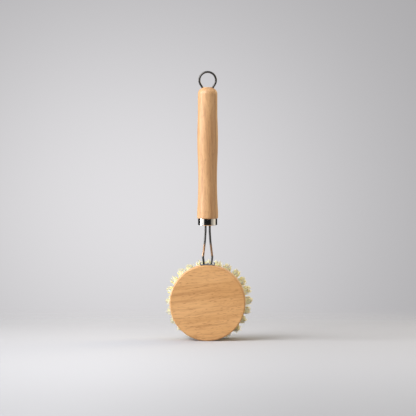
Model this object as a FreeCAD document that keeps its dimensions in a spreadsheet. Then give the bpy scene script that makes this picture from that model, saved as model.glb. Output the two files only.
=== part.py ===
import FreeCAD, Part
import math
import os
import Sketcher

# A dish brush with a replaceable head, standing on the rim of its disc as photographed.
# Z runs up the handle, the bare wooden face looks along -Y and the bristles point along +Y.
# The origin is on the floor, in the middle of the overall depth and width.
# Pieces are drawn about the handle's axis and then moved by their Placement.

doc = FreeCAD.newDocument("dish_brush")
sizes = doc.addObject("Spreadsheet::Sheet", "Sizes")

# Name, millimetres (or degrees, or a count), and what the number sets.
driving_sizes = (
    ("head_diameter", 63.0, "wooden disc across its rim"),
    ("head_thickness", 20.0, "disc from bare face to bristle face"),
    ("head_bevel", 0.8, "softening of the disc's two edges"),
    ("bristle_length", 23.0, "bristle face to trimmed tips"),
    ("tuft_hole", 4.76, "tuft seat across its corners"),
    ("tuft_hole_depth", 0.9, "depth of a tuft seat below the bristle face"),
    ("tuft_root_depth", 0.85, "how far a tuft is drawn below the bristle face"),
    ("tuft_mouth_radius", 2.0, "tuft where it leaves the wood"),
    ("tuft_tip_radius", 3.35, "tuft at its trimmed tips"),
    ("outer_count", 24, "tufts in the outer ring"),
    ("outer_circle", 25.5, "radius of the outer ring at the bristle face"),
    ("outer_splay", 19.0, "lean of the outer tufts away from the disc's axis"),
    ("middle_count", 16, "tufts in the middle ring"),
    ("middle_circle", 18.0, "radius of the middle ring at the bristle face"),
    ("middle_splay", 11.0, "lean of the middle tufts"),
    ("inner_count", 8, "tufts in the inner ring"),
    ("inner_circle", 9.5, "radius of the inner ring at the bristle face"),
    ("inner_splay", 5.0, "lean of the inner tufts"),
    ("floor_gap", 0.1, "least height of the lowest tufts above the floor"),
    ("wire", 1.8, "diameter of the spring wire"),
    ("prong_spread", 1.75, "half the wire spacing at the ferrule"),
    ("prong_pivot", 97.3, "height where the free prongs begin"),
    ("prong_straight", 91.0, "height where the prongs start to part"),
    ("prong_knee_reach", 2.3, "half the wire spacing at the knee"),
    ("prong_knee", 82.5, "height of the knee"),
    ("prong_bulge_reach", 3.85, "half the wire spacing at the bulge"),
    ("prong_bulge", 69.5, "height of the bulge"),
    ("prong_waist_reach", 3.05, "half the wire spacing at the waist"),
    ("prong_waist", 63.6, "height of the waist, in the clip's slot"),
    ("prong_tip_reach", 3.95, "half the wire spacing at the tips"),
    ("prong_tip", 56.0, "height of the tips, inside the socket"),
    ("knee_bend", 14.0, "bend radius at the soft upper bends"),
    ("snap_bend", 4.0, "bend radius at the bulge and the waist"),
    ("hairpin_foot", 97.5, "lower ends of the hairpin inside the handle"),
    ("hairpin_crown", 138.0, "height where the hairpin's bow begins"),
    ("hairpin_bore", 5.4, "drilled bore for the hairpin"),
    ("hairpin_bore_top", 141.0, "end of the bore"),
    ("ferrule_bottom", 96.1, "height of the ferrule's closed end"),
    ("ferrule_height", 5.6, "ferrule from closed end to mouth"),
    ("ferrule_diameter", 16.2, "ferrule outside"),
    ("ferrule_wall", 0.5, "ferrule sheet"),
    ("ferrule_bevel", 0.4, "ferrule's drawn corner"),
    ("ferrule_slot", 5.9, "length of the punched wire slot"),
    ("ferrule_slot_width", 2.2, "width of the punched wire slot"),
    ("fit_gap", 0.05, "clearance between seated pieces"),
    ("foot_radius", 8.7, "handle at its foot"),
    ("foot_top", 107.5, "where the foot starts to narrow"),
    ("foot_bevel", 0.6, "softening of the foot's lower edge"),
    ("waist_radius", 7.8, "handle at its waist"),
    ("waist_height", 134.0, "height of the waist"),
    ("belly_radius", 8.6, "handle at its belly"),
    ("belly_height", 168.0, "height of the belly"),
    ("neck_radius", 8.1, "handle below its rounded end"),
    ("neck_height", 192.0, "where the neck becomes straight"),
    ("handle_top", 211.2, "top of the wood"),
    ("dome_corner", 5.0, "rounding of the top end's shoulder"),
    ("dome_slope", 30.0, "slope of the crown inside that shoulder, in degrees"),
    ("dome_flat", 3.5, "radius of the flat in the crown's middle"),
    ("ring_radius", 6.9, "hanging ring, along the wire's middle"),
    ("ring_height", 217.0, "height of the ring's centre"),
    ("ring_wire", 1.75, "diameter of the ring's wire"),
    ("ring_turn", 58.0, "where the ring runs out into its legs, in degrees up from its lowest point"),
    ("ring_leg", 8.5, "length of each straight leg"),
    ("clip_width", 10.0, "clip plate across the rim"),
    ("clip_sheet", 0.8, "clip plate's thickness"),
    ("clip_gap", 0.02, "clip plate above the rim"),
    ("clip_reach", 5.0, "half the spacing of the curled ends"),
    ("curl_radius", 0.55, "inside radius of a curled end"),
    ("clip_slot", 8.3, "length of the clip's slot"),
    ("clip_slot_width", 2.2, "width of the clip's slot"),
    ("socket_length", 10.4, "milled socket along the rim"),
    ("socket_width", 2.8, "milled socket across the rim"),
    ("socket_depth", 9.0, "milled socket below the rim"),
    ("nail_pitch", 7.0, "spacing of the two clip nails"),
    ("nail_shank", 1.1, "nail shank diameter"),
    ("nail_length", 9.0, "nail below its head"),
    ("nail_head", 2.3, "nail head diameter"),
    ("nail_head_height", 0.7, "nail head above the plate"),
    ("nail_bevel", 0.4, "softening of the nail head"),
)
for row, (name, value, note) in enumerate(driving_sizes, start=1):
    sizes.set("A%d" % row, name)
    sizes.set("B%d" % row, str(value))
    sizes.set("C%d" % row, note)
    sizes.setAlias("B%d" % row, name)
doc.recompute()

pieces = []


def size(name):
    return float(sizes.get(name))


def vector(point):
    return FreeCAD.Vector(point[0], point[1], 0)


def new_body(label):
    body = doc.addObject("PartDesign::Body", label)
    body.Label = label
    pieces.append(body)
    return body


def origin_feature(body, role):
    return [feature for feature in body.Origin.OriginFeatures if feature.Role == role][0]


def new_sketch(body, name, role):
    sketch = body.newObject("Sketcher::SketchObject", name)
    sketch.AttachmentSupport = [(origin_feature(body, role), "")]
    sketch.MapMode = "FlatFace"
    return sketch


def raised_sketch(body, name, height):
    sketch = new_sketch(body, name, "XY_Plane")
    sketch.setExpression("AttachmentOffset.Base.z", height)
    return sketch


def bind(sketch, constraint, formula):
    index = sketch.addConstraint(constraint)
    sketch.setExpression("Constraints[%d]" % index, formula)


def rule(sketch, *words):
    sketch.addConstraint(Sketcher.Constraint(*words))


# An edge is (geometry number, point it starts from, point it ends at), in the order of travel.
def add_line(sketch, begin, end):
    number = sketch.addGeometry(Part.LineSegment(vector(begin), vector(end)), False)
    return (number, 1, 2)


def add_arc(sketch, centre, begin, end, anticlockwise):
    first = begin if anticlockwise else end
    last = end if anticlockwise else begin
    radius = math.hypot(first[0] - centre[0], first[1] - centre[1])
    start = math.atan2(first[1] - centre[1], first[0] - centre[0])
    stop = math.atan2(last[1] - centre[1], last[0] - centre[0])
    if stop <= start:
        stop += 2 * math.pi
    circle = Part.Circle(vector(centre), FreeCAD.Vector(0, 0, 1), radius)
    number = sketch.addGeometry(Part.ArcOfCircle(circle, start, stop), False)
    return (number, 1, 2) if anticlockwise else (number, 2, 1)


def join(sketch, first, second, smooth=False):
    kind = "Tangent" if smooth else "Coincident"
    rule(sketch, kind, first[0], first[2], second[0], second[1])


def bind_across(sketch, number, point, formula):
    value = sketch.getPoint(number, point).x
    bind(sketch, Sketcher.Constraint("DistanceX", -1, 1, number, point, value), formula)


def bind_up(sketch, number, point, formula):
    value = sketch.getPoint(number, point).y
    bind(sketch, Sketcher.Constraint("DistanceY", -1, 1, number, point, value), formula)


def bind_radius(sketch, number, formula):
    value = sketch.Geometry[number].Radius
    bind(sketch, Sketcher.Constraint("Radius", number, value), formula)


def on_axis(sketch, number, point):
    rule(sketch, "PointOnObject", number, point, -2)


# Wires, nails and tuft seats are drawn with flat sides, which keeps their facets few.
def add_polygon(sketch, sides, across_formula, across, diameter_formula, diameter):
    circle = Part.Circle(vector((across, 0)), FreeCAD.Vector(0, 0, 1), diameter / 2)
    guide = sketch.addGeometry(circle, True)
    rule(sketch, "PointOnObject", guide, 3, -1)
    bind_across(sketch, guide, 3, across_formula)
    bind(sketch, Sketcher.Constraint("Diameter", guide, diameter), diameter_formula)
    corners = []
    for number in range(sides):
        turn = 2 * math.pi * number / sides
        corners.append((across + diameter / 2 * math.cos(turn), diameter / 2 * math.sin(turn)))
    edges = []
    for begin, end in zip(corners, corners[1:] + corners[:1]):
        edges.append(add_line(sketch, begin, end))
    for first, second in zip(edges, edges[1:] + edges[:1]):
        join(sketch, first, second)
        rule(sketch, "PointOnObject", first[0], 1, guide)
    for edge in edges[1:]:
        rule(sketch, "Equal", edges[0][0], edge[0])
    rule(sketch, "PointOnObject", edges[0][0], 1, -1)


def add_obround(sketch, length, width, length_formula, width_formula):
    reach = (length - width) / 2
    half = width / 2
    lower = add_line(sketch, (-reach, -half), (reach, -half))
    right = add_arc(sketch, (reach, 0), (reach, -half), (reach, half), True)
    upper = add_line(sketch, (reach, half), (-reach, half))
    left = add_arc(sketch, (-reach, 0), (-reach, half), (-reach, -half), True)
    join(sketch, lower, right, smooth=True)
    join(sketch, right, upper, smooth=True)
    join(sketch, upper, left, smooth=True)
    join(sketch, left, lower, smooth=True)
    rule(sketch, "Horizontal", lower[0])
    rule(sketch, "PointOnObject", right[0], 3, -1)
    bind_across(sketch, right[0], 3, "(%s - %s) / 2" % (length_formula, width_formula))
    bind_across(sketch, left[0], 3, "-(%s - %s) / 2" % (length_formula, width_formula))
    bind_radius(sketch, right[0], "%s / 2" % width_formula)


def revolve(body, name, sketch):
    turned = body.newObject("PartDesign::Revolution", name)
    turned.Profile = sketch
    turned.ReferenceAxis = (sketch, ["V_Axis"])
    turned.Angle = 360
    return turned


def sweep(body, name, profile, path, kind="PartDesign::AdditivePipe"):
    pipe = body.newObject(kind, name)
    pipe.Profile = profile
    pipe.Spine = (path, [""])
    return pipe


def cut_down(body, name, sketch, depth_formula=None):
    pocket = body.newObject("PartDesign::Pocket", name)
    pocket.Profile = sketch
    if depth_formula is None:
        pocket.Type = "ThroughAll"
    else:
        pocket.Type = "Length"
        pocket.setExpression("Length", depth_formula)
    return pocket


def must_cut(feature):
    doc.recompute()
    base = feature.BaseFeature
    if feature.Shape.Volume > base.Shape.Volume - 0.01:
        raise RuntimeError(feature.Name + " removed nothing")


def bevel_edges(body, name, formula, chosen):
    doc.recompute()
    base = body.Tip
    found = []
    for number, edge in enumerate(base.Shape.Edges, start=1):
        if chosen(edge):
            found.append("Edge%d" % number)
    if not found:
        raise RuntimeError(name + " found no edge")
    bevel = body.newObject("PartDesign::Chamfer", name)
    bevel.Base = (base, found)
    bevel.setExpression("Size", formula)


def stand_on_axis(piece):
    piece.setExpression("Placement.Base.y", "-Sizes.bristle_length / 2")


def stand_on_disc(piece):
    stand_on_axis(piece)
    piece.setExpression("Placement.Base.z", "Sizes.head_diameter / 2")


# Half of the hanging ring's line: where the loop runs out, and where its straight leg ends.
ring_turn = math.radians(size("ring_turn"))
ring_out = size("ring_radius") * math.sin(ring_turn)
ring_out_height = size("ring_height") - size("ring_radius") * math.cos(ring_turn)
ring_end = ring_out - size("ring_leg") * math.cos(ring_turn)
ring_end_height = ring_out_height - size("ring_leg") * math.sin(ring_turn)


# Handle: a turned profile with a tenon for the ferrule, a bore for the hairpin
# and two slanting holes that the ring's legs are driven into.
handle = new_body("handle")
profile = new_sketch(handle, "handle_profile", "XZ_Plane")
tenon_radius = size("ferrule_diameter") / 2 - size("ferrule_wall") - size("fit_gap")
tenon_end = size("ferrule_bottom") + size("ferrule_wall") + size("fit_gap")
shoulder = size("ferrule_bottom") + size("ferrule_height") + size("fit_gap")
foot = (size("foot_radius"), size("foot_top"))
waist = (size("waist_radius"), size("waist_height"))
belly = (size("belly_radius"), size("belly_height"))
neck = (size("neck_radius"), size("neck_height"))
top = size("handle_top")
corner_radius = size("dome_corner")
slope = math.radians(size("dome_slope"))

# The long curve is three arcs: hollow through the waist, full over the belly, hollow into the neck.
waist_curve = ((foot[1] - waist[1]) ** 2 + (foot[0] - waist[0]) ** 2) / (2 * (foot[0] - waist[0]))
waist_rise = 2 * waist_curve * (belly[0] - waist[0]) / (belly[1] - waist[1])
belly_curve = waist_curve * (belly[1] - waist[1] - waist_rise) / waist_rise
belly_rise = 2 * belly_curve * (belly[0] - neck[0]) / (neck[1] - belly[1])
neck_curve = belly_curve * (neck[1] - belly[1] - belly_rise) / belly_rise
waist_centre = (waist[0] + waist_curve, waist[1])
belly_centre = (belly[0] - belly_curve, belly[1])
neck_centre = (neck[0] + neck_curve, neck[1])
waist_end = (waist[0] + waist_rise ** 2 / (2 * waist_curve), waist[1] + waist_rise)
belly_end = (belly[0] - belly_rise ** 2 / (2 * belly_curve), belly[1] + belly_rise)

# The top end: a rounded shoulder that runs into a sloping crown with a flat in its middle.
crown_edge = (size("dome_flat"), top)
corner_across = neck[0] - corner_radius
crown_across = corner_across + corner_radius * math.sin(slope)
crown_height = top - (crown_across - crown_edge[0]) * math.tan(slope)
crown_start = (crown_across, crown_height)
corner_height = crown_height - corner_radius * math.cos(slope)

end_face = add_line(profile, (0, tenon_end), (tenon_radius, tenon_end))
tenon = add_line(profile, (tenon_radius, tenon_end), (tenon_radius, shoulder))
ledge = add_line(profile, (tenon_radius, shoulder), (foot[0], shoulder))
foot_wall = add_line(profile, (foot[0], shoulder), foot)
waist_arc = add_arc(profile, waist_centre, foot, waist_end, False)
belly_arc = add_arc(profile, belly_centre, waist_end, belly_end, True)
neck_arc = add_arc(profile, neck_centre, belly_end, neck, False)
neck_wall = add_line(profile, neck, (neck[0], corner_height))
corner_arc = add_arc(profile, (corner_across, corner_height), (neck[0], corner_height), crown_start, True)
crown = add_line(profile, crown_start, crown_edge)
flat_top = add_line(profile, crown_edge, (0, top))
middle_line = add_line(profile, (0, top), (0, tenon_end))
for first, second in ((end_face, tenon), (tenon, ledge), (ledge, foot_wall), (foot_wall, waist_arc)):
    join(profile, first, second)
smooth_run = (waist_arc, belly_arc, neck_arc, neck_wall, corner_arc, crown)
for first, second in zip(smooth_run, smooth_run[1:]):
    join(profile, first, second, smooth=True)
join(profile, crown, flat_top)
join(profile, flat_top, middle_line)
join(profile, middle_line, end_face)
for level in (end_face, ledge, flat_top):
    rule(profile, "Horizontal", level[0])
for upright in (tenon, foot_wall, neck_wall):
    rule(profile, "Vertical", upright[0])
on_axis(profile, middle_line[0], 1)
on_axis(profile, end_face[0], 1)
tenon_radius_formula = "Sizes.ferrule_diameter / 2 - Sizes.ferrule_wall - Sizes.fit_gap"
bind_across(profile, end_face[0], 2, tenon_radius_formula)
bind_up(profile, end_face[0], 2, "Sizes.ferrule_bottom + Sizes.ferrule_wall + Sizes.fit_gap")
bind_up(profile, ledge[0], 1, "Sizes.ferrule_bottom + Sizes.ferrule_height + Sizes.fit_gap")
bind_across(profile, ledge[0], 2, "Sizes.foot_radius")
bind_up(profile, foot_wall[0], 2, "Sizes.foot_top")
for arc, station, place in ((waist_arc, "waist", waist), (belly_arc, "belly", belly)):
    mark = profile.addGeometry(Part.Point(vector(place)), True)
    rule(profile, "PointOnObject", mark, 1, arc[0])
    rule(profile, "Horizontal", mark, 1, arc[0], 3)
    bind_across(profile, mark, 1, "Sizes.%s_radius" % station)
    bind_up(profile, mark, 1, "Sizes.%s_height" % station)
bind_across(profile, neck_wall[0], 1, "Sizes.neck_radius")
bind_up(profile, neck_wall[0], 1, "Sizes.neck_height")
bind_radius(profile, corner_arc[0], "Sizes.dome_corner")
bind(profile, Sketcher.Constraint("Angle", crown[0], math.pi - slope), "180 deg - Sizes.dome_slope * 1 deg")
bind_across(profile, crown[0], 2, "Sizes.dome_flat")
bind_up(profile, crown[0], 2, "Sizes.handle_top")
revolve(handle, "handle_turned", profile)

bore = new_sketch(handle, "hairpin_bore", "XZ_Plane")
bore_radius = size("hairpin_bore") / 2
bore_start = size("ferrule_bottom")
bore_top = size("hairpin_bore_top")
bore_mouth = add_line(bore, (0, bore_start), (bore_radius, bore_start))
bore_wall = add_line(bore, (bore_radius, bore_start), (bore_radius, bore_top))
bore_end = add_line(bore, (bore_radius, bore_top), (0, bore_top))
bore_axis = add_line(bore, (0, bore_top), (0, bore_start))
bore_outline = (bore_mouth, bore_wall, bore_end, bore_axis, bore_mouth)
for first, second in zip(bore_outline, bore_outline[1:]):
    join(bore, first, second)
rule(bore, "Horizontal", bore_mouth[0])
rule(bore, "Horizontal", bore_end[0])
rule(bore, "Vertical", bore_wall[0])
on_axis(bore, bore_axis[0], 1)
on_axis(bore, bore_mouth[0], 1)
bind_across(bore, bore_mouth[0], 2, "Sizes.hairpin_bore / 2")
bind_up(bore, bore_mouth[0], 2, "Sizes.ferrule_bottom")
bind_up(bore, bore_wall[0], 2, "Sizes.hairpin_bore_top")
drilled = handle.newObject("PartDesign::Groove", "hairpin_drilled")
drilled.Profile = bore
drilled.ReferenceAxis = (bore, ["V_Axis"])
drilled.Angle = 360
must_cut(drilled)


# A sketch square to one leg of the ring, with its centre where a leg of this length ends.
def leg_end_sketch(body, name, side, leg):
    sketch = new_sketch(body, name, "XY_Plane")
    lean = FreeCAD.Rotation(FreeCAD.Vector(0, 1, 0), side * (90 - size("ring_turn")))
    sketch.AttachmentOffset = FreeCAD.Placement(FreeCAD.Vector(0, 0, 0), lean)
    turn = "Sizes.ring_turn * 1 deg"
    across = "Sizes.ring_radius * sin(%s) - (%s) * cos(%s)" % (turn, leg, turn)
    down = "Sizes.ring_radius * cos(%s) + (%s) * sin(%s)" % (turn, leg, turn)
    sketch.setExpression("AttachmentOffset.Base.x", "%d * (%s)" % (side, across))
    sketch.setExpression("AttachmentOffset.Base.z", "Sizes.ring_height - (%s)" % down)
    return sketch


for side, label in ((-1, "left"), (1, "right")):
    leg_mark = leg_end_sketch(handle, label + "_leg_mark", side, "Sizes.ring_leg + Sizes.fit_gap")
    leg_hole_radius = size("ring_wire") / 2 + size("fit_gap")
    leg_circle = Part.Circle(vector((0, 0)), FreeCAD.Vector(0, 0, 1), leg_hole_radius)
    leg_number = leg_mark.addGeometry(leg_circle, False)
    rule(leg_mark, "Coincident", leg_number, 3, -1, 1)
    bind_radius(leg_mark, leg_number, "Sizes.ring_wire / 2 + Sizes.fit_gap")
    leg_hole = handle.newObject("PartDesign::Pocket", label + "_leg_hole")
    leg_hole.Profile = leg_mark
    leg_hole.Type = "Length"
    leg_hole.Reversed = True
    leg_hole.setExpression("Length", "Sizes.ring_leg")
    must_cut(leg_hole)


def is_foot_edge(edge):
    box = edge.BoundBox
    flat = box.ZLength < 0.001 and abs(box.ZMin - shoulder) < 0.001
    return flat and abs(box.XMax - foot[0]) < 0.001


bevel_edges(handle, "foot_bevelled", "Sizes.foot_bevel", is_foot_edge)
stand_on_axis(handle)

# Ferrule: a drawn steel cup over the tenon, with a slot punched through its closed end.
ferrule = new_body("ferrule")
cup = new_sketch(ferrule, "ferrule_profile", "XZ_Plane")
cup_outside = size("ferrule_diameter") / 2
cup_wall = size("ferrule_wall")
cup_bottom = size("ferrule_bottom")
cup_mouth = cup_bottom + size("ferrule_height")
cup_points = (
    (0, cup_bottom),
    (cup_outside, cup_bottom),
    (cup_outside, cup_mouth),
    (cup_outside - cup_wall, cup_mouth),
    (cup_outside - cup_wall, cup_bottom + cup_wall),
    (0, cup_bottom + cup_wall),
)
cup_edges = []
for begin, end in zip(cup_points, cup_points[1:] + cup_points[:1]):
    cup_edges.append(add_line(cup, begin, end))
for first, second in zip(cup_edges, cup_edges[1:] + cup_edges[:1]):
    join(cup, first, second)
for level in (cup_edges[0], cup_edges[2], cup_edges[4]):
    rule(cup, "Horizontal", level[0])
for upright in (cup_edges[1], cup_edges[3]):
    rule(cup, "Vertical", upright[0])
on_axis(cup, cup_edges[0][0], 1)
on_axis(cup, cup_edges[4][0], 2)
bind_across(cup, cup_edges[0][0], 2, "Sizes.ferrule_diameter / 2")
bind_up(cup, cup_edges[0][0], 2, "Sizes.ferrule_bottom")
bind_up(cup, cup_edges[1][0], 2, "Sizes.ferrule_bottom + Sizes.ferrule_height")
bind_across(cup, cup_edges[2][0], 2, "Sizes.ferrule_diameter / 2 - Sizes.ferrule_wall")
bind_up(cup, cup_edges[3][0], 2, "Sizes.ferrule_bottom + Sizes.ferrule_wall")
revolve(ferrule, "ferrule_drawn", cup)
wire_slot = raised_sketch(ferrule, "ferrule_slot", "Sizes.ferrule_bottom + 2")
add_obround(wire_slot, size("ferrule_slot"), size("ferrule_slot_width"),
            "Sizes.ferrule_slot", "Sizes.ferrule_slot_width")
must_cut(cut_down(ferrule, "ferrule_punched", wire_slot))


def is_cup_corner(edge):
    box = edge.BoundBox
    flat = box.ZLength < 0.001 and abs(box.ZMin - cup_bottom) < 0.001
    return flat and abs(box.XMax - cup_outside) < 0.001


bevel_edges(ferrule, "ferrule_bevelled", "Sizes.ferrule_bevel", is_cup_corner)
stand_on_axis(ferrule)

# Hanging ring: one bent wire, its legs inside the handle's end grain.
hanging_ring = new_body("hanging_ring")
ring_line = new_sketch(hanging_ring, "ring_path", "XZ_Plane")
loop_begin = (-ring_out, ring_out_height)
loop_end = (ring_out, ring_out_height)
left_leg = add_line(ring_line, (-ring_end, ring_end_height), loop_begin)
loop = add_arc(ring_line, (0, size("ring_height")), loop_begin, loop_end, False)
right_leg = add_line(ring_line, loop_end, (ring_end, ring_end_height))
join(ring_line, left_leg, loop, smooth=True)
join(ring_line, loop, right_leg, smooth=True)
on_axis(ring_line, loop[0], 3)
bind_up(ring_line, loop[0], 3, "Sizes.ring_height")
bind_radius(ring_line, loop[0], "Sizes.ring_radius")
bind_across(ring_line, left_leg[0], 2, "-Sizes.ring_radius * sin(Sizes.ring_turn * 1 deg)")
bind_across(ring_line, right_leg[0], 1, "Sizes.ring_radius * sin(Sizes.ring_turn * 1 deg)")
for leg in (left_leg, right_leg):
    bind(ring_line, Sketcher.Constraint("Distance", leg[0], size("ring_leg")), "Sizes.ring_leg")
ring_section = leg_end_sketch(hanging_ring, "ring_section", -1, "Sizes.ring_leg")
add_polygon(ring_section, 10, "0", 0.0, "Sizes.ring_wire", size("ring_wire"))
sweep(hanging_ring, "ring_bent", ring_section, ring_line)
stand_on_axis(hanging_ring)

# Hairpin: the folded end of the spring wire, held in the handle's bore.
hairpin = new_body("hairpin_wire")
fold = new_sketch(hairpin, "hairpin_path", "XZ_Plane")
spread = size("prong_spread")
fold_foot = size("hairpin_foot")
fold_crown = size("hairpin_crown")
fold_left = add_line(fold, (-spread, fold_foot), (-spread, fold_crown))
fold_bow = add_arc(fold, (0, fold_crown), (-spread, fold_crown), (spread, fold_crown), False)
fold_right = add_line(fold, (spread, fold_crown), (spread, fold_foot))
join(fold, fold_left, fold_bow, smooth=True)
join(fold, fold_bow, fold_right, smooth=True)
rule(fold, "Vertical", fold_left[0])
rule(fold, "Vertical", fold_right[0])
bind_across(fold, fold_left[0], 1, "-Sizes.prong_spread")
bind_across(fold, fold_right[0], 2, "Sizes.prong_spread")
bind_up(fold, fold_left[0], 1, "Sizes.hairpin_foot")
bind_up(fold, fold_right[0], 2, "Sizes.hairpin_foot")
bind_up(fold, fold_bow[0], 3, "Sizes.hairpin_crown")
fold_round = raised_sketch(hairpin, "hairpin_round", "Sizes.hairpin_foot")
add_polygon(fold_round, 6, "-Sizes.prong_spread", -spread, "Sizes.wire", size("wire"))
sweep(hairpin, "hairpin_bent", fold_round, fold)
stand_on_axis(hairpin)

# Spring prongs: straight runs joined by bends, each bend tangent to the runs beside it.
prong_corners = (
    ("prong_spread", "prong_pivot", None),
    ("prong_spread", "prong_straight", "knee_bend"),
    ("prong_knee_reach", "prong_knee", "knee_bend"),
    ("prong_bulge_reach", "prong_bulge", "snap_bend"),
    ("prong_waist_reach", "prong_waist", "snap_bend"),
    ("prong_tip_reach", "prong_tip", None),
)


def build_prong(label, side):
    body = new_body(label)
    path = new_sketch(body, label + "_path", "XZ_Plane")
    corners = []
    for across, up, bend in prong_corners:
        corners.append((side * size(across), size(up)))
    ends = [corners[0]]
    centres = []
    for number in range(1, len(corners) - 1):
        here = vector(corners[number])
        before = (vector(corners[number - 1]) - here).normalize()
        after = (vector(corners[number + 1]) - here).normalize()
        half_angle = before.getAngle(after) / 2
        bend = size(prong_corners[number][2])
        run = bend / math.tan(half_angle)
        inward = (before + after).normalize()
        ends.append(here + before * run)
        ends.append(here + after * run)
        centres.append(here + inward * (bend / math.sin(half_angle)))
    ends.append(corners[-1])
    runs = []
    for number in range(len(corners) - 1):
        runs.append(add_line(path, ends[2 * number], ends[2 * number + 1]))
    for number, centre in enumerate(centres):
        begin = vector(ends[2 * number + 1])
        end = vector(ends[2 * number + 2])
        turn = (begin - centre).cross(end - centre).z
        arc = add_arc(path, centre, begin, end, turn > 0)
        join(path, runs[number], arc, smooth=True)
        join(path, arc, runs[number + 1], smooth=True)
        across, up, bend = prong_corners[number + 1]
        bind_radius(path, arc[0], "Sizes." + bend)
        corner = path.addGeometry(Part.Point(vector(corners[number + 1])), True)
        rule(path, "PointOnObject", corner, 1, runs[number][0])
        rule(path, "PointOnObject", corner, 1, runs[number + 1][0])
        bind_across(path, corner, 1, "%d * Sizes.%s" % (side, across))
        bind_up(path, corner, 1, "Sizes." + up)
    for run, point, corner in ((runs[0], 1, prong_corners[0]), (runs[-1], 2, prong_corners[-1])):
        bind_across(path, run[0], point, "%d * Sizes.%s" % (side, corner[0]))
        bind_up(path, run[0], point, "Sizes." + corner[1])
    profile = raised_sketch(body, label + "_round", "Sizes.prong_pivot")
    add_polygon(profile, 12, "%d * Sizes.prong_spread" % side, side * spread, "Sizes.wire", size("wire"))
    sweep(body, label + "_bent", profile, path)
    stand_on_axis(body)


build_prong("left_prong", -1)
build_prong("right_prong", 1)

# Head block: a beech disc with a milled socket, nail holes and rings of tuft seats.
head = new_body("head_block")
disc = new_sketch(head, "head_outline", "XZ_Plane")
rim_circle = Part.Circle(vector((0, 0)), FreeCAD.Vector(0, 0, 1), size("head_diameter") / 2)
rim = disc.addGeometry(rim_circle, False)
rule(disc, "Coincident", rim, 3, -1, 1)
bind(disc, Sketcher.Constraint("Diameter", rim, size("head_diameter")), "Sizes.head_diameter")
slab = head.newObject("PartDesign::Pad", "head_slab")
slab.Profile = disc
slab.SideType = "Symmetric"
slab.setExpression("Length", "Sizes.head_thickness")


def is_rim_edge(edge):
    return edge.BoundBox.YLength < 0.001


bevel_edges(head, "head_bevelled", "Sizes.head_bevel", is_rim_edge)
socket = raised_sketch(head, "socket_outline", "Sizes.head_diameter / 2 + 1")
add_obround(socket, size("socket_length"), size("socket_width"),
            "Sizes.socket_length", "Sizes.socket_width")
must_cut(cut_down(head, "socket_milled", socket, "Sizes.socket_depth + 1"))


# Both nail holes, on a sketch turned so that its first axis runs across the rim.
def nail_hole_sketch(body, name, height):
    sketch = raised_sketch(body, name, height)
    sketch.AttachmentOffset = FreeCAD.Placement(
        FreeCAD.Vector(0, 0, 0), FreeCAD.Rotation(FreeCAD.Vector(0, 0, 1), 90))
    diameter = size("nail_shank") + 2 * size("fit_gap")
    for side in (-1, 1):
        add_polygon(sketch, 12, "%d * Sizes.nail_pitch / 2" % side, side * size("nail_pitch") / 2,
                    "Sizes.nail_shank + 2 * Sizes.fit_gap", diameter)
    return sketch


nail_marks = nail_hole_sketch(head, "nail_hole_marks", "Sizes.head_diameter / 2 + 1")
must_cut(cut_down(head, "nail_holes", nail_marks, "Sizes.nail_length + 1"))


# A tuft of the outer and inner rings stands at the top; the middle ring is turned by half a step to interlace.
def ring_start(ring):
    return 180.0 / size("middle_count") if ring == "middle" else 0.0


tuft_sides = 8


# One seat is sunk into the bristle face, and a pattern about the disc's axis repeats it.
def sink_seat(name, out, out_formula, start):
    mark = new_sketch(head, name + "_mark", "XZ_Plane")
    mark.AttachmentOffset = FreeCAD.Placement(
        FreeCAD.Vector(0, 0, 0), FreeCAD.Rotation(FreeCAD.Vector(0, 0, 1), 90 - start))
    mark.setExpression("AttachmentOffset.Base.z", "-Sizes.head_thickness / 2")
    add_polygon(mark, tuft_sides, out_formula, out, "Sizes.tuft_hole", size("tuft_hole"))
    seat = head.newObject("PartDesign::Pocket", name)
    seat.Profile = mark
    seat.Type = "Length"
    seat.Reversed = True
    seat.setExpression("Length", "Sizes.tuft_hole_depth")
    must_cut(seat)
    return seat


for ring in ("outer", "middle", "inner"):
    seat = sink_seat(ring + "_seat", size(ring + "_circle"), "Sizes.%s_circle" % ring, ring_start(ring))
    pattern = head.newObject("PartDesign::PolarPattern", ring + "_seats")
    pattern.Originals = [seat]
    pattern.Axis = (origin_feature(head, "Y_Axis"), [""])
    pattern.Angle = 360
    pattern.setExpression("Occurrences", "Sizes.%s_count" % ring)
    head.Tip = pattern
    must_cut(pattern)
sink_seat("centre_seat", 0.0, "0", 0.0)
stand_on_disc(head)

# Clip plate: a saddle of sheet steel on the rim, both ends rolled up, with a slot for the prongs.
clip = new_body("clip_plate")
saddle = new_sketch(clip, "clip_profile", "XZ_Plane")
saddle_centre = size("head_diameter") / 2
under = saddle_centre + size("clip_gap")
over = under + size("clip_sheet")
curl_inside = size("curl_radius")
curl_outside = curl_inside + size("clip_sheet")
reach = size("clip_reach")
lean = math.asin(reach / (under + curl_outside))
curl_height = saddle_centre + (under + curl_outside) * math.cos(lean)
under_right = (under * math.sin(lean), saddle_centre + under * math.cos(lean))
under_left = (-under_right[0], under_right[1])
over_right = (over * math.sin(lean), saddle_centre + over * math.cos(lean))
over_left = (-over_right[0], over_right[1])
lip_outside = curl_height + curl_outside
lip_inside = curl_height + curl_inside
saddle_under = add_arc(saddle, (0, saddle_centre), under_left, under_right, False)
right_outside = add_arc(saddle, (reach, curl_height), under_right, (reach, lip_outside), True)
right_lip = add_line(saddle, (reach, lip_outside), (reach, lip_inside))
right_inside = add_arc(saddle, (reach, curl_height), (reach, lip_inside), over_right, False)
saddle_over = add_arc(saddle, (0, saddle_centre), over_right, over_left, True)
left_inside = add_arc(saddle, (-reach, curl_height), over_left, (-reach, lip_inside), False)
left_lip = add_line(saddle, (-reach, lip_inside), (-reach, lip_outside))
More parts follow.
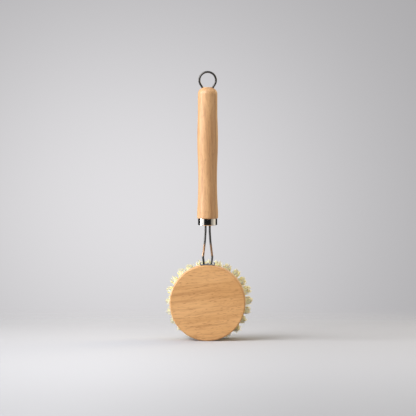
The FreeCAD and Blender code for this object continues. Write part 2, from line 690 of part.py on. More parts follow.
left_outside = add_arc(saddle, (-reach, curl_height), (-reach, lip_outside), under_left, True)
join(saddle, saddle_under, right_outside, smooth=True)
join(saddle, right_outside, right_lip)
join(saddle, right_lip, right_inside)
join(saddle, right_inside, saddle_over, smooth=True)
join(saddle, saddle_over, left_inside, smooth=True)
join(saddle, left_inside, left_lip)
join(saddle, left_lip, left_outside)
join(saddle, left_outside, saddle_under, smooth=True)
on_axis(saddle, saddle_under[0], 3)
rule(saddle, "Coincident", saddle_over[0], 3, saddle_under[0], 3)
bind_up(saddle, saddle_under[0], 3, "Sizes.head_diameter / 2")
bind_radius(saddle, saddle_under[0], "Sizes.head_diameter / 2 + Sizes.clip_gap")
bind_radius(saddle, saddle_over[0], "Sizes.head_diameter / 2 + Sizes.clip_gap + Sizes.clip_sheet")
for outside, inside, sign in ((right_outside, right_inside, 1), (left_outside, left_inside, -1)):
    bind_radius(saddle, outside[0], "Sizes.curl_radius + Sizes.clip_sheet")
    bind_radius(saddle, inside[0], "Sizes.curl_radius")
    bind_across(saddle, outside[0], 3, "%d * Sizes.clip_reach" % sign)
    rule(saddle, "Vertical", outside[0], 3, inside[0], 3)
rule(saddle, "Vertical", right_outside[0], 3, right_outside[0], right_outside[2])
rule(saddle, "Vertical", right_inside[0], 3, right_inside[0], right_inside[1])
rule(saddle, "Vertical", left_outside[0], 3, left_outside[0], left_outside[1])
rule(saddle, "Vertical", left_inside[0], 3, left_inside[0], left_inside[2])
sheet_pad = clip.newObject("PartDesign::Pad", "clip_rolled")
sheet_pad.Profile = saddle
sheet_pad.SideType = "Symmetric"
sheet_pad.setExpression("Length", "Sizes.clip_width")
clip_slot = raised_sketch(clip, "clip_slot", "Sizes.head_diameter + 5")
add_obround(clip_slot, size("clip_slot"), size("clip_slot_width"),
            "Sizes.clip_slot", "Sizes.clip_slot_width")
must_cut(cut_down(clip, "clip_slotted", clip_slot))
clip_marks = nail_hole_sketch(clip, "clip_nail_marks", "Sizes.head_diameter + 5")
must_cut(cut_down(clip, "clip_nail_holes", clip_marks))
stand_on_axis(clip)


# Nails: a shank under a low bevelled head, drawn about their own axis from the plate's top.
def build_nail(label, side):
    body = new_body(label)
    shank_outline = new_sketch(body, label + "_shank_outline", "XY_Plane")
    add_polygon(shank_outline, 12, "0", 0.0, "Sizes.nail_shank", size("nail_shank"))
    shank = body.newObject("PartDesign::Pad", label + "_shank")
    shank.Profile = shank_outline
    shank.Reversed = True
    shank.setExpression("Length", "Sizes.nail_length - Sizes.clip_sheet - 3 * Sizes.clip_gap")
    head_outline = new_sketch(body, label + "_head_outline", "XY_Plane")
    add_polygon(head_outline, 12, "0", 0.0, "Sizes.nail_head", size("nail_head"))
    nail_head = body.newObject("PartDesign::Pad", label + "_head")
    nail_head.Profile = head_outline
    nail_head.setExpression("Length", "Sizes.nail_head_height")

    def is_crown_edge(edge):
        return edge.BoundBox.ZMin > size("nail_head_height") - 0.001

    bevel_edges(body, label + "_bevelled", "Sizes.nail_bevel", is_crown_edge)
    body.setExpression("Placement.Base.y", "%d * Sizes.nail_pitch / 2 - Sizes.bristle_length / 2" % side)
    body.setExpression("Placement.Base.z", "Sizes.head_diameter + 2 * Sizes.clip_gap + Sizes.clip_sheet")


build_nail("front_nail", -1)
build_nail("back_nail", 1)


# Where a ring's tufts stand: the turns, in degrees clockwise from the top as seen from the bare face.
def ring_turns(ring):
    count = int(size(ring + "_count"))
    return [ring_start(ring) + 360.0 * number / count for number in range(count)]


# Tufts: each an eight-sided bundle that widens evenly from its seat to its trimmed tips.
def add_section(name, depth_formula, out_formula, radius_formula):
    section = doc.addObject("Part::RegularPolygon", name)
    section.Polygon = tuft_sides
    section.Placement = FreeCAD.Placement(
        FreeCAD.Vector(0, 0, 0), FreeCAD.Rotation(FreeCAD.Vector(1, 0, 0), 90))
    section.setExpression("Circumradius", radius_formula)
    section.setExpression("Placement.Base.y", depth_formula)
    section.setExpression("Placement.Base.z", out_formula)
    return section


def add_tuft(label, sections, turn):
    tuft = doc.addObject("Part::Loft", label)
    tuft.Label = label
    tuft.Sections = sections
    tuft.Solid = True
    tuft.Ruled = True
    tuft.Linearize = True
    tuft.Placement = FreeCAD.Placement(
        FreeCAD.Vector(0, 0, 0), FreeCAD.Rotation(FreeCAD.Vector(0, 1, 0), turn))
    stand_on_disc(tuft)
    pieces.append(tuft)


root_depth = "Sizes.head_thickness / 2 - Sizes.tuft_root_depth"
tip_depth = "Sizes.head_thickness / 2 + Sizes.bristle_length"
root_radius = ("Sizes.tuft_mouth_radius - (Sizes.tuft_tip_radius - Sizes.tuft_mouth_radius)"
               " * Sizes.tuft_root_depth / Sizes.bristle_length")
for ring in ("outer", "middle", "inner"):
    lean_run = "Sizes.%s_circle + (%%s) * tan(Sizes.%s_splay * 1 deg)" % (ring, ring)
    root = add_section(ring + "_root", root_depth, lean_run % "-Sizes.tuft_root_depth", root_radius)
    free_tip = add_section(
        ring + "_tip", tip_depth, lean_run % "Sizes.bristle_length", "Sizes.tuft_tip_radius")
    splay = math.radians(size(ring + "_splay"))
    free_reach = size(ring + "_circle") + size("bristle_length") * math.tan(splay)
    floor_tips = {}
    for number, turn in enumerate(ring_turns(ring), start=1):
        from_below = round(abs(turn - 180.0), 3)
        tip = free_tip
        drop = free_reach * math.cos(math.radians(from_below)) + size("tuft_tip_radius") + size("floor_gap")
        # The lowest tufts are pressed up by the surface that the disc stands on.
        if drop > size("head_diameter") / 2:
            if from_below not in floor_tips:
                floor_tips[from_below] = add_section(
                    "%s_floor_tip_%d" % (ring, len(floor_tips) + 1),
                    tip_depth,
                    "(Sizes.head_diameter / 2 - Sizes.tuft_tip_radius - Sizes.floor_gap) / cos(%.3f deg)"
                    % from_below,
                    "Sizes.tuft_tip_radius",
                )
            tip = floor_tips[from_below]
        add_tuft("tuft_%s_%02d" % (ring, number), [root, tip], turn)
centre_root = add_section("centre_root", root_depth, "0", root_radius)
centre_tip = add_section("centre_tip", tip_depth, "0", "Sizes.tuft_tip_radius")
add_tuft("tuft_centre", [centre_root, centre_tip], 0.0)

# Everything is worked out and checked before any file is written.
doc.recompute()
problems = []
for item in doc.Objects:
    if "Invalid" in item.State or "Error" in item.State:
        problems.append("%s is in state %s" % (item.Name, item.State))
for piece in pieces:
    if piece.Shape.isNull():
        problems.append(piece.Label + " has no shape")
    elif not piece.Shape.isValid():
        problems.append(piece.Label + " has an invalid shape")
if problems:
    raise RuntimeError("; ".join(problems))

os.makedirs("parts", exist_ok=True)
for piece in pieces:
    piece.Shape.exportStep("parts/%s.step" % piece.Label)
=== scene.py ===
import math
import random

import bpy
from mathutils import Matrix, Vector


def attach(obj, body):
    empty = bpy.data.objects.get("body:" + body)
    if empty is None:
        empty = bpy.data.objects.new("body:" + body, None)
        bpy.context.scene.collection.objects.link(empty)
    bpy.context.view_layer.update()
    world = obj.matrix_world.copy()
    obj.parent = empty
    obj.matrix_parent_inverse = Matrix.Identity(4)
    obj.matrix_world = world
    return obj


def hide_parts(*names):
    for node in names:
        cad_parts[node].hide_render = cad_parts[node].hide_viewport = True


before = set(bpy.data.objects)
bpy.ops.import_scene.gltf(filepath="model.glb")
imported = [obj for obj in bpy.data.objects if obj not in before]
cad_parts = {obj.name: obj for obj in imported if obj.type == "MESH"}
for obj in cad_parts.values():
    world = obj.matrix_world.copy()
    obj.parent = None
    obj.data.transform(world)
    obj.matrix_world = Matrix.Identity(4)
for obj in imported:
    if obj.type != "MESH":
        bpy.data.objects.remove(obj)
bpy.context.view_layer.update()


# The handle: one length of beech, turned on a lathe to a belly, a waist and a flared foot.
# Sanded and oiled, it shows grain along its length and the short dark dashes of the wood's rays.
def new_finish(name):
    finish = bpy.data.materials.new(name)
    finish.use_nodes = True
    tree = finish.node_tree
    tree.nodes.clear()
    surface = tree.nodes.new("ShaderNodeBsdfPrincipled")
    output = tree.nodes.new("ShaderNodeOutputMaterial")
    tree.links.new(surface.outputs["BSDF"], output.inputs["Surface"])
    return finish, tree, surface


# Links another node's output to a socket, or sets a plain value on it.
def feed(tree, socket, value):
    if isinstance(value, bpy.types.NodeSocket):
        tree.links.new(value, socket)
    else:
        socket.default_value = value


def arithmetic(tree, operation, *values):
    step = tree.nodes.new("ShaderNodeMath")
    step.operation = operation
    for socket, value in zip(step.inputs, values):
        feed(tree, socket, value)
    return step.outputs["Value"]


def object_place(tree):
    return tree.nodes.new("ShaderNodeTexCoord").outputs["Object"]


def stretched(tree, place, scale, shift=(0.0, 0.0, 0.0), turn=(0.0, 0.0, 0.0)):
    mapping = tree.nodes.new("ShaderNodeMapping")
    mapping.inputs["Scale"].default_value = scale
    mapping.inputs["Location"].default_value = shift
    mapping.inputs["Rotation"].default_value = turn
    tree.links.new(place, mapping.inputs["Vector"])
    return mapping.outputs["Vector"]


def cloudy(tree, place, detail=2.0, roughness=0.5, part="Fac"):
    noise = tree.nodes.new("ShaderNodeTexNoise")
    noise.inputs["Scale"].default_value = 1.0
    noise.inputs["Detail"].default_value = detail
    noise.inputs["Roughness"].default_value = roughness
    tree.links.new(place, noise.inputs["Vector"])
    return noise.outputs[part]


# A smooth step: new_low where the value is low, new_high where it is high.
def graded(tree, value, low, high, new_low=0.0, new_high=1.0):
    span = tree.nodes.new("ShaderNodeMapRange")
    span.interpolation_type = "SMOOTHSTEP"
    limits = {"From Min": low, "From Max": high, "To Min": new_low, "To Max": new_high}
    for name, number in limits.items():
        span.inputs[name].default_value = number
    tree.links.new(value, span.inputs["Value"])
    return span.outputs["Result"]


# The Mix node keeps its two colours in sockets 6 and 7, and gives the mixed one in output 2.
def blended(tree, amount, first, second):
    mix = tree.nodes.new("ShaderNodeMix")
    mix.data_type = "RGBA"
    feed(tree, mix.inputs["Factor"], amount)
    for socket, value in ((mix.inputs[6], first), (mix.inputs[7], second)):
        feed(tree, socket, (*value, 1.0) if isinstance(value, tuple) else value)
    return mix.outputs[2]


def tinted(tree, mask, strength, under, over):
    return blended(tree, arithmetic(tree, "MULTIPLY", mask, strength), under, over)


def bumped(tree, surface, height, strength, depth):
    relief = tree.nodes.new("ShaderNodeBump")
    relief.inputs["Strength"].default_value = strength
    relief.inputs["Distance"].default_value = depth
    tree.links.new(height, relief.inputs["Height"])
    tree.links.new(relief.outputs["Normal"], surface.inputs["Normal"])


# One at the edges of a piece, nothing on its flats: partly wear where handling and sanding rub hardest,
# partly painted shade along the edges.
def worn_and_shaded_edges(tree, reach):
    rounded = tree.nodes.new("ShaderNodeBevel")
    rounded.samples = 6
    rounded.inputs["Radius"].default_value = reach
    facing = tree.nodes.new("ShaderNodeVectorMath")
    facing.operation = "DOT_PRODUCT"
    tree.links.new(rounded.outputs["Normal"], facing.inputs[0])
    tree.links.new(tree.nodes.new("ShaderNodeNewGeometry").outputs["Normal"], facing.inputs[1])
    return graded(tree, facing.outputs["Value"], 0.995, 0.90)


# A screen colour from 0 to 255, as the light it stands for.
def light_of(*screen):
    shares = [tone / 255.0 for tone in screen]
    return tuple(share / 12.92 if share <= 0.04045 else ((share + 0.055) / 1.055) ** 2.4 for share in shares)


# Beech runs long along its grain and short across it, and its lines wander.
# The heart is the middle of the trunk, outside the piece, that the year lines curve round.
def beech_finish(name, along, lean, painted_side_shade, heart, year_lines, streaks_per_metre, pale, tan, dark, depths,
                 shine, seed):
    finish, tree, surface = new_finish(name)
    board = stretched(tree, object_place(tree), (1.0, 1.0, 1.0), turn=(0.0, lean, 0.0))

    # Marks per metre along the grain and across it. Each layer has its own number, which sets it apart.
    wander_marks = (22.0, 36.0)
    broad_marks = (9.0, 75.0)
    streak_marks = (14.0, streaks_per_metre)
    hair_marks = (60.0, 1700.0)
    pore_marks = (230.0, 1750.0)
    fade_marks = (24.0, 80.0)

    def grain(place, marks, layer):
        marks_along, marks_across = marks
        scale = [marks_across] * 3
        scale[along] = marks_along
        return stretched(tree, place, scale, (seed + layer, 0.7 * seed - layer, 1.3 * seed + layer))

    wander_width = 0.007
    sway = [wander_width] * 3
    sway[along] = 0.0
    wander = tree.nodes.new("ShaderNodeVectorMath")
    wander.operation = "MULTIPLY_ADD"
    wander.inputs[1].default_value = sway
    tree.links.new(cloudy(tree, grain(board, wander_marks, 4.0), part="Color"), wander.inputs[0])
    tree.links.new(board, wander.inputs[2])
    place = wander.outputs["Vector"]

    axes = tree.nodes.new("ShaderNodeSeparateXYZ")
    tree.links.new(place, axes.inputs["Vector"])
    broad = cloudy(tree, grain(place, broad_marks, 1.0))
    # Painted shade: the broad tone darkens steadily along the grain, so the head block's right-hand side is
    # darker; the handle has none.
    broad = arithmetic(tree, "MULTIPLY_ADD", axes.outputs[along], painted_side_shade, broad)
    streaks = cloudy(tree, grain(place, streak_marks, 2.0), detail=4.0, roughness=0.62)
    hairs = cloudy(tree, grain(place, hair_marks, 3.0), roughness=0.55)
    pores = cloudy(tree, grain(place, pore_marks, 6.0), detail=1.0)
    dashes = graded(tree, pores, 0.58, 0.74)
    fade = graded(tree, cloudy(tree, grain(board, fade_marks, 5.0)), 0.36, 0.62)
    squares = []
    for axis, middle in zip([axis for axis in range(3) if axis != along], heart):
        reach = arithmetic(tree, "SUBTRACT", axes.outputs[axis], middle)
        squares.append(arithmetic(tree, "MULTIPLY", reach, reach))
    distance = arithmetic(tree, "SQRT", arithmetic(tree, "ADD", *squares))
    swing = arithmetic(tree, "SINE", arithmetic(tree, "MULTIPLY", distance, 2.0 * math.pi * year_lines))
    years = arithmetic(tree, "MULTIPLY", graded(tree, swing, 0.0, 1.0), fade)

    streak_depth, year_depth, hair_depth, dash_depth = depths
    edge_wear_and_shade_depth = 0.45
    edge_reach = 0.0012
    colour = blended(tree, graded(tree, broad, 0.3, 0.7), pale, tan)
    colour = tinted(tree, graded(tree, streaks, 0.47, 0.70), streak_depth, colour, dark)
    colour = tinted(tree, graded(tree, streaks, 0.50, 0.28), streak_depth, colour, pale)
    colour = tinted(tree, years, year_depth, colour, dark)
    colour = tinted(tree, graded(tree, hairs, 0.5, 0.75), hair_depth, colour, dark)
    colour = tinted(tree, dashes, dash_depth, colour, dark)
    # Painted shade in part: the edges are darkened, as wear and as the shade of edges turned from the light.
    edge_wear_and_shade = worn_and_shaded_edges(tree, edge_reach)
    colour = tinted(tree, edge_wear_and_shade, edge_wear_and_shade_depth, colour, dark)
    tree.links.new(colour, surface.inputs["Base Color"])

    sanded_rough = 0.42
    streak_rough = 0.18
    edge_rough = -0.08
    dash_rough = 0.08
    rough = arithmetic(tree, "MULTIPLY_ADD", streaks, streak_rough, sanded_rough)
    rough = arithmetic(tree, "MULTIPLY_ADD", edge_wear_and_shade, edge_rough, rough)
    rough = arithmetic(tree, "MULTIPLY_ADD", dashes, dash_rough, rough)
    tree.links.new(rough, surface.inputs["Roughness"])
    hair_hollow = -0.6
    hollows = arithmetic(tree, "MULTIPLY_ADD", hairs, hair_hollow, 1.0)
    bumped(tree, surface, arithmetic(tree, "SUBTRACT", hollows, dashes), strength=0.3, depth=0.00008)
    surface.inputs["Specular IOR Level"].default_value = shine
    return finish


def dress(node, finish):
    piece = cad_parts[node]
    piece.data.materials.clear()
    piece.data.materials.append(finish)
    return piece


handle_beech = beech_finish(
    "handle_beech",
    along=2,
    lean=math.radians(2),
    painted_side_shade=0.0,
    heart=(0.034, 0.012),
    year_lines=170.0,
    streaks_per_metre=420.0,
    pale=light_of(222, 174, 121),
    tan=light_of(201, 151, 98),
    dark=light_of(154, 102, 56),
    depths=(0.56, 0.2, 0.5, 0.5),
    shine=1.0,
    seed=3.7,
)
dress("handle", handle_beech)


# The ferrule: a shallow cup drawn from sheet steel and pressed over the tenon at the handle's foot.
# It is polished bright, with faint lines round it from the polishing wheel.
def steel_finish(name, tone, along, roughness, seed):
    finish, tree, surface = new_finish(name)
    place = object_place(tree)
    line_scale = [700.0] * 3
    line_scale[along] = 5200.0
    smudge_scale = (150.0, 150.0, 150.0)
    lines = cloudy(tree, stretched(tree, place, line_scale, (seed, seed, seed)), roughness=0.6)
    smudge_place = stretched(tree, place, smudge_scale, (seed, 0.0, seed))
    smudges = cloudy(tree, smudge_place, detail=3.0, roughness=0.55)
    dull = graded(tree, smudges, 0.35, 0.75)
    dull_tone = tuple(0.84 * part for part in tone)
    line_tone = tuple(0.6 * part for part in tone)
    line_depth = 0.5
    colour = blended(tree, dull, tone, dull_tone)
    colour = tinted(tree, graded(tree, lines, 0.45, 0.75), line_depth, colour, line_tone)
    tree.links.new(colour, surface.inputs["Base Color"])
    rough = arithmetic(tree, "MULTIPLY_ADD", dull, 0.6 * roughness, roughness)
    rough = arithmetic(tree, "MULTIPLY_ADD", lines, 0.4 * roughness, rough)
    tree.links.new(rough, surface.inputs["Roughness"])
    bumped(tree, surface, lines, strength=0.05, depth=0.00001)
    surface.inputs["Metallic"].default_value = 1.0
    return finish, tree, surface, colour


ferrule_steel = steel_finish("ferrule_steel", (0.76, 0.74, 0.71), along=2, roughness=0.03, seed=1.3)[0]
dress("ferrule", ferrule_steel)

# The hairpin and its two prongs: one length of hard spring wire, folded in half and bent on pins.
# The fold sits in a bore up the handle, the legs leave through the ferrule, bulge, and pinch in at the clip.
# The bent stretch above the bulge carries a painted warm brownish reflection in the wire's colour.
wire_steel, wire_tree, wire_surface, wire_colour = steel_finish(
    "wire_steel", (0.145, 0.141, 0.137), along=0, roughness=0.09, seed=5.1)
# Painted reflection: a warm brownish band on the wire between these heights.
reflection_band_from = 0.0705
reflection_band_to = 0.0800
lower_edge = 0.0008
upper_edge = 0.002
painted_reflection_tone = light_of(206, 162, 124)
painted_reflection_depth = 0.8
wire_axes = wire_tree.nodes.new("ShaderNodeSeparateXYZ")
wire_tree.links.new(object_place(wire_tree), wire_axes.inputs["Vector"])
wire_height = wire_axes.outputs["Z"]
# painted reflection band, soft at both ends
reflection_band_start = graded(wire_tree, wire_height, reflection_band_from - lower_edge, reflection_band_from + lower_edge)
reflection_band_end = graded(wire_tree, wire_height, reflection_band_to - upper_edge, reflection_band_to + upper_edge, 1.0, 0.0)
painted_reflection_band = arithmetic(wire_tree, "MULTIPLY", reflection_band_start, reflection_band_end)
wire_colour = tinted(wire_tree, painted_reflection_band, painted_reflection_depth, wire_colour, painted_reflection_tone)
wire_tree.links.new(wire_colour, wire_surface.inputs["Base Color"])


# Drawn wire is round, so the light runs evenly over its narrow flats.
def shade_round(piece):
    joined = piece.modifiers.new("joined_flats", "WELD")
    joined.merge_threshold = 0.000001
    evened = piece.modifiers.new("even_shading", "WEIGHTED_NORMAL")
    evened.keep_sharp = False


for wire in ("hairpin_wire", "left_prong", "right_prong"):
    shade_round(dress(wire, wire_steel))

# The hanging ring: a length of steel wire bent round a mandrel, its two legs driven into the end grain.
# It is the darkest metal on the brush, with thin bright lines where it turns to the light.
ring_steel = steel_finish("ring_steel", (0.11, 0.105, 0.10), along=1, roughness=0.20, seed=8.4)[0]
shade_round(dress("hanging_ring", ring_steel))

# The head block: a beech disc cut from a board, its flat face left bare, its edges eased by hand.
# The board's grain lies across the face, so end grain shows at the rim's left and right.
head_beech = beech_finish(
    "head_beech",
    along=0,
    lean=math.radians(6),
    # painted shade: the disc darkens towards its right-hand side
    painted_side_shade=5.0,
    heart=(0.050, -0.055),
    year_lines=210.0,
    streaks_per_metre=580.0,
    pale=light_of(225, 174, 118),
    tan=light_of(207, 154, 96),
    dark=light_of(150, 96, 46),
    depths=(0.32, 0.12, 0.36, 0.55),
    shine=0.5,
    seed=9.2,
)
dress("head_block", head_beech)

# The clip plate: a strip of sheet steel curved to the rim, both ends rolled up, with a slot for the prongs.
# Two round-headed nails through the strip hold it to the wood.
clip_steel = steel_finish("clip_steel", (0.42, 0.41, 0.395), along=1, roughness=0.05, seed=2.2)[0]
for fitting in ("clip_plate", "front_nail", "back_nail"):
    dress(fitting, clip_steel)

# The bristle tufts: bundles of stiff plant fibre, each folded into its hole in the disc and trimmed level.
# The outer bundles lean out past the rim, less so behind the clip.
# Every fibre strays a little from its neighbours.
fibre_finish, fibre_tree, fibre_surface = new_finish("plant_fibre")
fibre_cream = light_of(253, 241, 203)
fibre_straw = light_of(245, 221, 152)
band_tone = light_of(208, 172, 90)
# Painted shade: each fibre turns a deeper ochre towards its root, deep inside the tufts.
root_shade_tone = light_of(214, 184, 108)
band_depth = 0.45
root_shade_depth = 0.45


def fibre_value(name):
    attribute = fibre_tree.nodes.new("ShaderNodeAttribute")
    attribute.attribute_name = name
    return attribute.outputs["Fac"]


fibre_place = object_place(fibre_tree)
fibre_bands = cloudy(fibre_tree, stretched(fibre_tree, fibre_place, (700.0, 170.0, 700.0)))
fibre_colour = blended(fibre_tree, fibre_value("fibre_tone"), fibre_cream, fibre_straw)
in_band = graded(fibre_tree, fibre_bands, 0.45, 0.8)
fibre_colour = tinted(fibre_tree, in_band, band_depth, fibre_colour, band_tone)
# painted shade towards the roots
painted_root_shade = graded(fibre_tree, fibre_value("fibre_run"), 0.5, 0.0)
fibre_colour = tinted(fibre_tree, painted_root_shade, root_shade_depth, fibre_colour, root_shade_tone)
fibre_tree.links.new(fibre_colour, fibre_surface.inputs["Base Color"])
fibre_rough = arithmetic(fibre_tree, "MULTIPLY_ADD", fibre_bands, 0.2, 0.45)
fibre_tree.links.new(fibre_rough, fibre_surface.inputs["Roughness"])
fibre_look = {
    "Subsurface Weight": 0.9,
    "Subsurface Radius": (1.0, 0.85, 0.45),
    "Subsurface Scale": 0.001,
    "Specular IOR Level": 0.4,
    "Sheen Weight": 0.1,
    "Sheen Roughness": 0.5,
    "Sheen Tint": (1.0, 0.96, 0.82, 1.0),
}
for socket_name, socket_value in fibre_look.items():
    fibre_surface.inputs[socket_name].default_value = socket_value

fibres_in_a_tuft = 150
fibre_sides = 4
fibre_rings = 5
fibre_radius = 0.00022
floor_clearance = 0.0001
level_slack = 0.00002
least_lean = 0.0001
lean_kept_aside = 0.96
lean_lost_on_top = 0.34
tuft_shift = 0.0003
tip_scatter = 0.0006
stray_share = 0.2
stray_least = 0.0002
stray_most = 0.0009
trim_scatter = 0.0003
bow_width = 0.00025
turn_slack = 0.3
tone_middle = 0.4
tone_spread = 0.27
golden_turn = math.pi * (3.0 - math.sqrt(5.0))


# The middle and the corner radius of a tuft solid's lowest or highest ring.
def tuft_end(corners, level):
    ring = [corner for corner in corners if abs(corner.y - level) < level_slack]
    middle = sum(ring, Vector()) / len(ring)
    return middle, max((corner - middle).length for corner in ring)


def sideways(draws, spread):
    return Vector((draws.gauss(0.0, spread), 0.0, draws.gauss(0.0, spread)))


# A thin tube round a line of middles, closed at both ends.
def add_tube(points, faces, middles, twist):
    first = len(points)
    for middle in middles:
        for corner in range(fibre_sides):
            angle = twist + 2.0 * math.pi * corner / fibre_sides
            points.append(middle + Vector((math.cos(angle), 0.0, math.sin(angle))) * fibre_radius)
    for ring in range(len(middles) - 1):
        low = first + ring * fibre_sides
        high = low + fibre_sides
        for corner in range(fibre_sides):
            after = (corner + 1) % fibre_sides
            faces.append((low + corner, low + after, high + after, high + corner))
    last = first + (len(middles) - 1) * fibre_sides
    faces.append(tuple(last + corner for corner in range(fibre_sides)))
    faces.append(tuple(first + corner for corner in reversed(range(fibre_sides))))


def fibre_bundle(node, draws):
    corners = [corner.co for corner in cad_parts[node].data.vertices]
    root, root_radius = tuft_end(corners, min(corner.y for corner in corners))
    tip, tip_radius = tuft_end(corners, max(corner.y for corner in corners))
    upright = Vector((root.x, tip.y, root.z))
    outward = tip - upright
    rise = max(0.0, outward.z) / max(outward.length, least_lean)
    lean_kept = lean_kept_aside - lean_lost_on_top * rise ** 4
    tip = upright.lerp(tip, lean_kept) + sideways(draws, tuft_shift)
    points = []
    faces = []
    tones = []
    runs = []
    for number in range(fibres_in_a_tuft):
        share = math.sqrt((number + 0.5) / fibres_in_a_tuft)
        turn = number * golden_turn + draws.uniform(-turn_slack, turn_slack)
        out = Vector((math.cos(turn), 0.0, math.sin(turn)))
        start = root + out * share * (root_radius - fibre_radius)
        end = tip + out * share * (tip_radius - fibre_radius) + sideways(draws, tip_scatter)
        if draws.random() < stray_share:
            end += out * draws.uniform(stray_least, stray_most)
        end.y -= abs(draws.gauss(0.0, trim_scatter))
        bow = sideways(draws, bow_width)
        twist = draws.uniform(0.0, math.pi)
        tone = min(1.0, max(0.0, draws.gauss(tone_middle, tone_spread)))
        middles = []
        for ring in range(fibre_rings):
            run = ring / (fibre_rings - 1)
            middle = start.lerp(end, run) + bow * math.sin(math.pi * run)
            middle.z = max(middle.z, fibre_radius + floor_clearance)
            middles.append(middle)
            tones.extend([tone] * fibre_sides)
            runs.extend([run] * fibre_sides)
        add_tube(points, faces, middles, twist)
    mesh = bpy.data.meshes.new(node + "_fibres")
    mesh.from_pydata(points, [], faces)
    for name, values in (("fibre_tone", tones), ("fibre_run", runs)):
        mesh.attributes.new(name, "FLOAT", "POINT").data.foreach_set("value", values)
    mesh.shade_smooth()
    mesh.materials.append(fibre_finish)
    bundle = bpy.data.objects.new(node + "_fibres", mesh)
    bpy.context.scene.collection.objects.link(bundle)
    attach(bundle, "head")
    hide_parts(node)


fibre_draws = random.Random(41)
for node in sorted(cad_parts):
    if node.startswith("tuft_"):
        fibre_bundle(node, fibre_draws)

# The table top: a pale sheet that the brush stands on, by the rim of its disc, with painted light and shade
# in its colour.
# It reaches further towards the camera than away from it, and fades into the backdrop.
table_middle = (0.0, -0.55, 0.0)
table_radius = 1.2
table_sides = 96
table_points = [(0.0, 0.0, 0.0)]
for number in range(table_sides):
    turn = 2.0 * math.pi * number / table_sides
    table_points.append((table_radius * math.cos(turn), table_radius * math.sin(turn), 0.0))
table_faces = [(0, number + 1, (number + 1) % table_sides + 1) for number in range(table_sides)]
table_mesh = bpy.data.meshes.new("table_top")
table_mesh.from_pydata(table_points, [], table_faces)

# Painted light and shade: the table is palest round the brush and a little left of it, and darker behind,
# towards the front and to either side.
shaded_far_table_tone = (0.475, 0.482, 0.516)
lit_near_table_tone = (0.512, 0.520, 0.556)
shaded_front_table_tone = (0.402, 0.408, 0.434)
mottle_tone = (0.50, 0.49, 0.50)
mottle_scale = (9.0, 9.0, 9.0)
mottle_depth = 0.08
painted_light_middle_x = -0.075
table_shade_reach = 0.18
table_shade_depth = 0.15
table_finish, table_tree, table_surface = new_finish("pale_table")
table_place = object_place(table_tree)
table_axes = table_tree.nodes.new("ShaderNodeSeparateXYZ")
table_tree.links.new(table_place, table_axes.inputs["Vector"])
painted_near_light = graded(table_tree, table_axes.outputs["Y"], 0.74, 0.48)
painted_front_shade = graded(table_tree, table_axes.outputs["Y"], 0.38, -0.28)
table_mottle = cloudy(table_tree, stretched(table_tree, table_place, mottle_scale))
table_colour = blended(table_tree, painted_near_light, shaded_far_table_tone, lit_near_table_tone)
table_colour = blended(table_tree, painted_front_shade, table_colour, shaded_front_table_tone)
table_colour = tinted(table_tree, table_mottle, mottle_depth, table_colour, mottle_tone)
# Painted shade: the table darkens to either side of a line a little left of the brush.
table_aside = arithmetic(table_tree, "SUBTRACT", table_axes.outputs["X"], painted_light_middle_x)
table_aside = arithmetic(table_tree, "ABSOLUTE", table_aside)
painted_table_side_shade = graded(table_tree, table_aside, 0.0, table_shade_reach)
table_colour = tinted(table_tree, painted_table_side_shade, table_shade_depth, table_colour, (0.0, 0.0, 0.0))
table_tree.links.new(table_colour, table_surface.inputs["Base Color"])
table_surface.inputs["Roughness"].default_value = 0.8
table_surface.inputs["Specular IOR Level"].default_value = 0.2
table_reach = table_tree.nodes.new("ShaderNodeVectorMath")
table_reach.operation = "LENGTH"
table_tree.links.new(table_place, table_reach.inputs[0])
table_cover = graded(table_tree, table_reach.outputs["Value"], 0.64, 0.99, 1.0, 0.0)
table_tree.links.new(table_cover, table_surface.inputs["Alpha"])
table_mesh.materials.append(table_finish)
table = bpy.data.objects.new("table_top", table_mesh)
table.location = table_middle
scene = bpy.context.scene
scene.collection.objects.link(table)

# The camera: far off and a little above the brush, so that the rim's top edge just shows.
# It stands slightly to the right, which brings more of the right-hand tufts into view.
camera = bpy.data.cameras.new("camera")
camera.sensor_width = 36.0
camera_distance = 5.0
picture_width = 0.3467
camera.lens = camera.sensor_width * camera_distance / picture_width
camera.clip_end = 50.0
camera_turn = math.radians(1.3)
camera_rise = math.radians(2.74)
aim_aside = 0.0003
across = Vector((math.cos(camera_turn), math.sin(camera_turn), 0.0))
level_back = Vector((math.sin(camera_turn), -math.cos(camera_turn), 0.0))
camera_back = level_back * math.cos(camera_rise) + Vector((0.0, 0.0, math.sin(camera_rise)))
camera_target = Vector((0.0, -0.0115, 0.1105)) + across * aim_aside
camera_object = bpy.data.objects.new("camera", camera)
camera_object.location = camera_target + camera_back * camera_distance
camera_object.rotation_euler = (-camera_back).to_track_quat("-Z", "Y").to_euler()
scene.collection.objects.link(camera_object)
scene.camera = camera_object
scene.view_settings.view_transform = "Standard"

# The studio: softboxes front left, on the left and rear right, a warm card on the right and a dark front.
# Behind the brush hangs a pale backdrop, with a pool of light a little left of the middle.
# The camera sees the backdrop, and the brush is lit by the room.
studio = bpy.data.worlds.new("studio")
scene.world = studio
studio.use_nodes = True
sky = studio.node_tree
sky.nodes.clear()
sky_way = sky.nodes.new("ShaderNodeTexCoord").outputs["Generated"]
sky_axes = sky.nodes.new("ShaderNodeSeparateXYZ")
sky.links.new(sky_way, sky_axes.inputs["Vector"])
sky_right, sky_deep, sky_up = (sky_axes.outputs[axis] for axis in range(3))


def sky_dot(direction):
    product = sky.nodes.new("ShaderNodeVectorMath")
    product.operation = "DOT_PRODUCT"
    product.inputs[1].default_value = direction
    sky.links.new(sky_way, product.inputs[0])
    return product.outputs["Value"]


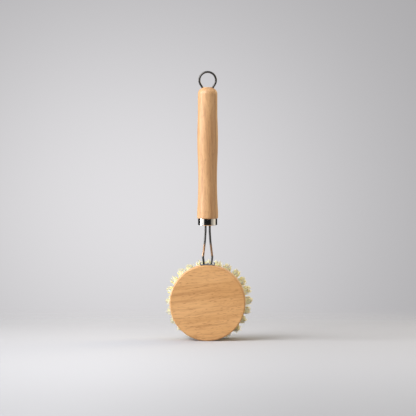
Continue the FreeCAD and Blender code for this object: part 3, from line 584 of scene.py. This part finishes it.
# One inside the band, nothing outside it, soft at both edges.
def sky_band(value, low, high, soft):
    rise = graded(sky, value, low - soft, low + soft)
    fall = graded(sky, value, high - soft, high + soft, 1.0, 0.0)
    return arithmetic(sky, "MULTIPLY", rise, fall)


def sky_sum(*terms):
    total = terms[0]
    for term in terms[1:]:
        total = arithmetic(sky, "ADD", total, term)
    return total


half_view = picture_width / 2.0 / camera_distance


# How far a direction lies from the pool's middle, in half pictures, squared and weighed.
def pool_falloff(direction, offset, weight):
    reach = arithmetic(sky, "MULTIPLY_ADD", sky_dot(direction), 1.0 / half_view, offset)
    return arithmetic(sky, "MULTIPLY", arithmetic(sky, "MULTIPLY", reach, reach), -weight)


backdrop_dim = 0.38
pool_gain = 0.365
pool_wide = pool_falloff(across, 0.375, 0.67)
pool_high = pool_falloff(camera_back.cross(across), -0.015, 0.83)
pool = arithmetic(sky, "EXPONENT", arithmetic(sky, "ADD", pool_wide, pool_high))
floor_side = graded(sky, sky_up, -0.07, -0.22, 0.0, 0.26)
backdrop_light = sky_sum(arithmetic(sky, "MULTIPLY_ADD", pool, pool_gain, backdrop_dim), floor_side)
turn_round = arithmetic(sky, "ARCTAN2", sky_right, arithmetic(sky, "MULTIPLY", sky_deep, -1.0))


# A bright stretch of wall. Each band has a low end, a high end and a soft edge: first the turn round the
# brush in radians, then the height.
def sky_panel(turn_band, height_band, light):
    height = arithmetic(sky, "MULTIPLY", sky_band(sky_up, *height_band), light)
    return arithmetic(sky, "MULTIPLY", sky_band(turn_round, *turn_band), height)


left_wall = sky_panel((-1.68, -0.75, 0.08), (-0.15, 0.65, 0.12), 1.50)
card_light = graded(sky, turn_round, 0.8, 1.8, 0.40, 1.24)
right_card = sky_panel((0.74, 1.90, 0.06), (-0.15, 0.45, 0.1), card_light)
overhead = graded(sky, sky_up, 0.45, 0.8, 0.02, 0.95)
behind_light = graded(sky, sky_deep, 0.05, 0.35, 0.0, 0.8)
behind = arithmetic(sky, "MULTIPLY", behind_light, sky_band(sky_up, 0.22, 0.75, 0.08))
below = graded(sky, sky_up, -0.06, -0.25, 0.0, 0.45)
far_wall = graded(sky, sky_deep, 0.88, 0.97, 0.0, 0.75)
room_light = sky_sum(left_wall, right_card, overhead, below, behind, far_wall)

plain_white = (0.80, 0.80, 0.80)
warm_white = (0.82, 0.75, 0.64)
room_colour = blended(sky, graded(sky, sky_right, 0.1, 0.7), plain_white, warm_white)
room = sky.nodes.new("ShaderNodeBackground")
sky.links.new(room_colour, room.inputs["Color"])
sky.links.new(room_light, room.inputs["Strength"])
backdrop = sky.nodes.new("ShaderNodeBackground")
backdrop.inputs["Color"].default_value = (1.0, 0.985, 1.01, 1.0)
sky.links.new(backdrop_light, backdrop.inputs["Strength"])
either = sky.nodes.new("ShaderNodeMixShader")
sky.links.new(sky.nodes.new("ShaderNodeLightPath").outputs["Is Camera Ray"], either.inputs["Fac"])
sky.links.new(room.outputs["Background"], either.inputs[1])
sky.links.new(backdrop.outputs["Background"], either.inputs[2])
sky_output = sky.nodes.new("ShaderNodeOutputWorld")
sky.links.new(either.outputs["Shader"], sky_output.inputs["Surface"])


def hang_softbox(name, place, wide, high, watts, tint):
    softbox = bpy.data.lights.new(name, "AREA")
    softbox.shape = "RECTANGLE"
    softbox.size = wide
    softbox.size_y = high
    softbox.energy = watts
    softbox.color = tint
    hung = bpy.data.objects.new(name, softbox)
    hung.location = place
    hung.rotation_euler = (camera_target - Vector(place)).to_track_quat("-Z", "Y").to_euler()
    scene.collection.objects.link(hung)


neutral_tint = (1.0, 1.0, 1.0)
amber_tint = (1.0, 0.78, 0.44)
hang_softbox("front_softbox", (-0.95, -0.855, 1.07), wide=1.1, high=0.9, watts=25.0, tint=neutral_tint)
hang_softbox("side_softbox", (-1.60, -0.20, 0.42), wide=0.5, high=0.84, watts=13.4, tint=neutral_tint)
hang_softbox("rear_softbox", (1.20, 0.95, 0.62), wide=0.8, high=0.8, watts=10.2, tint=amber_tint)
